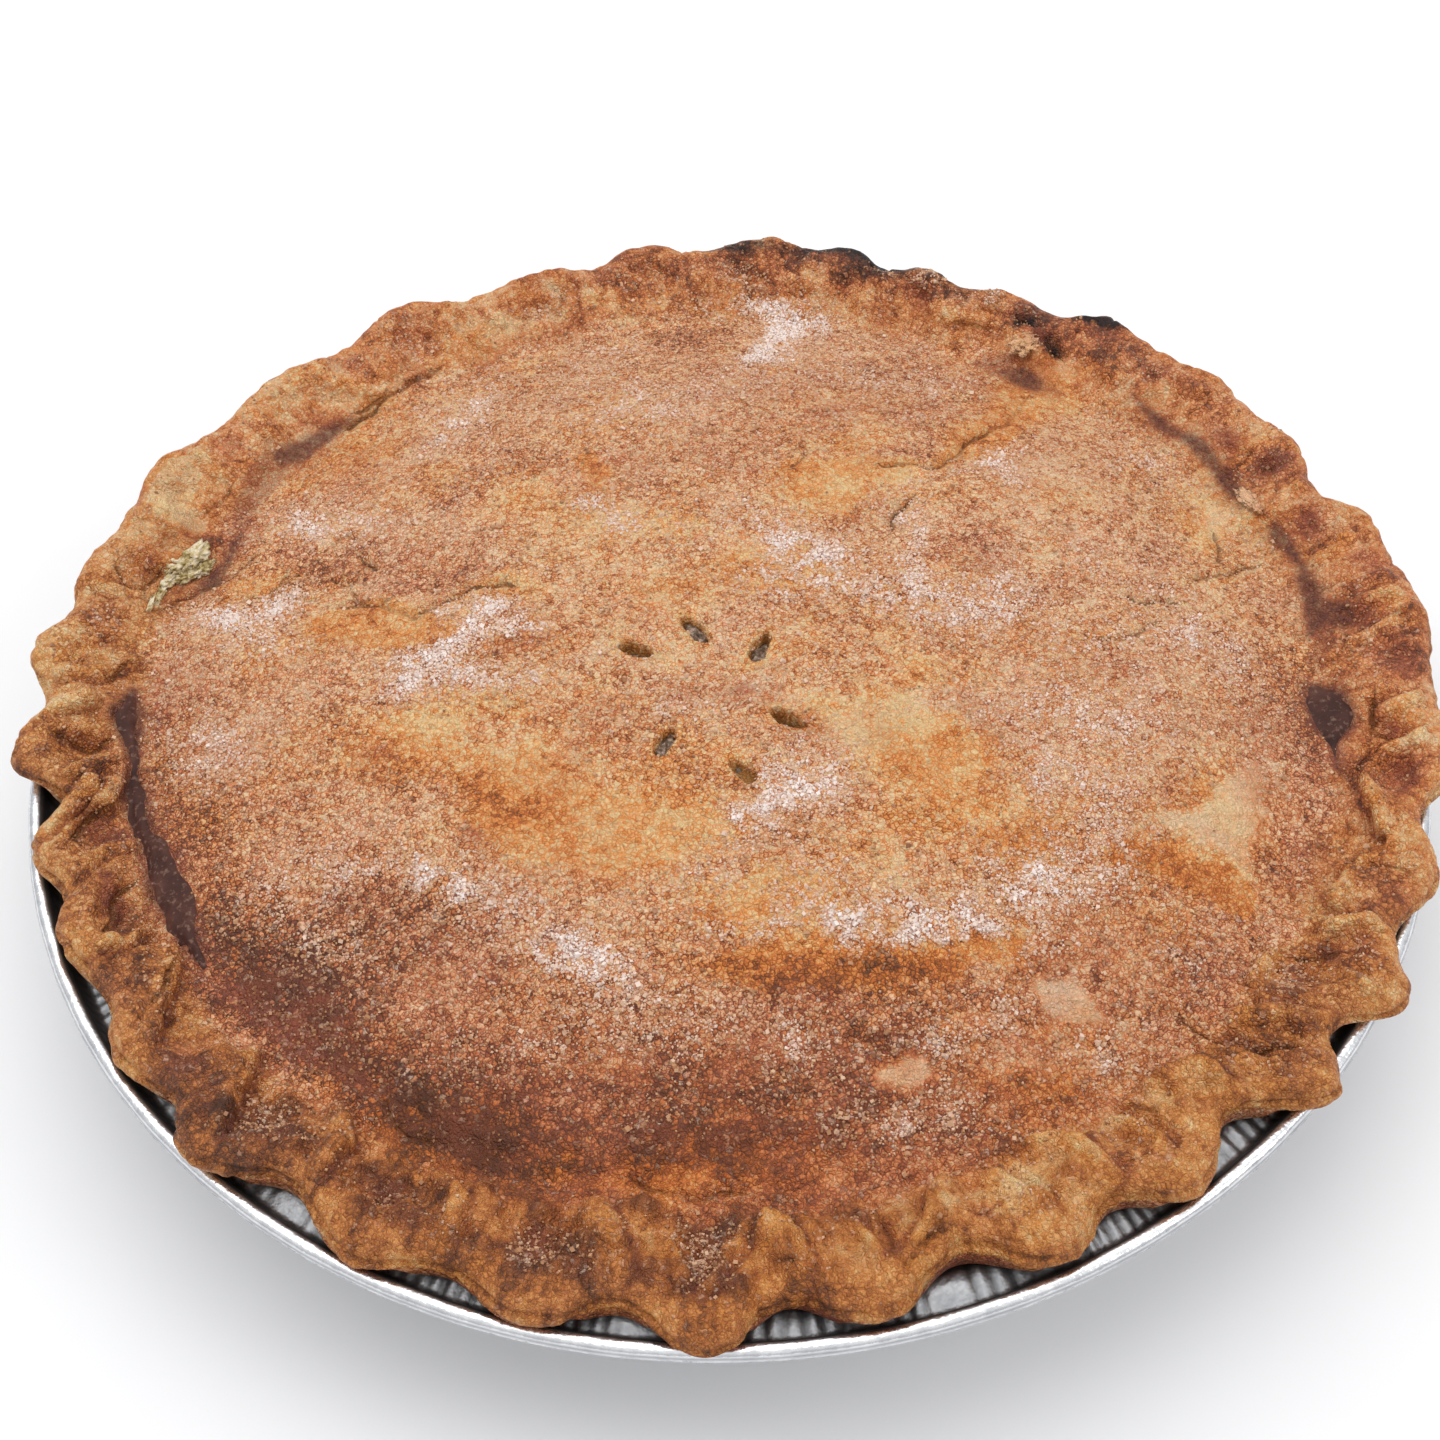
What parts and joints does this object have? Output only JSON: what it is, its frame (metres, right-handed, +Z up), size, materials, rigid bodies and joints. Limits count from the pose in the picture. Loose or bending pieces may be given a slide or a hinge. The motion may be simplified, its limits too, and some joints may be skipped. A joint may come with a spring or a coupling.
{
  "type": "apple pie in a foil pan",
  "caption": "Baked double-crust apple pie with a fluted edge, steam vents and sugar on top, in its own round foil pan.",
  "frame": {"origin": "middle of the foil pan's flat underside, where it rests", "axes": "+Z up through the pie's middle, -Y towards the viewer of the picture, +X to the viewer's right"},
  "size_m": [0.2507, 0.2485, 0.0475],
  "materials": {
    "baked_crust": "baked shortcrust pastry, golden tan to reddish brown in patches, matt with a slight buttery sheen",
    "foil": "bright pressed aluminium foil, pleated at the flange, with a rolled rim",
    "sugar": "coarse white sugar grains, sparkling",
    "baked_juice": "dark brown fruit juice, baked on and smooth",
    "apple_filling": "cooked apple in thick juice, seen through the slits"
  },
  "bodies": {
    "root": {"pie": "baked_crust", "foil_pan": "foil"}
  },
  "joints": []
}
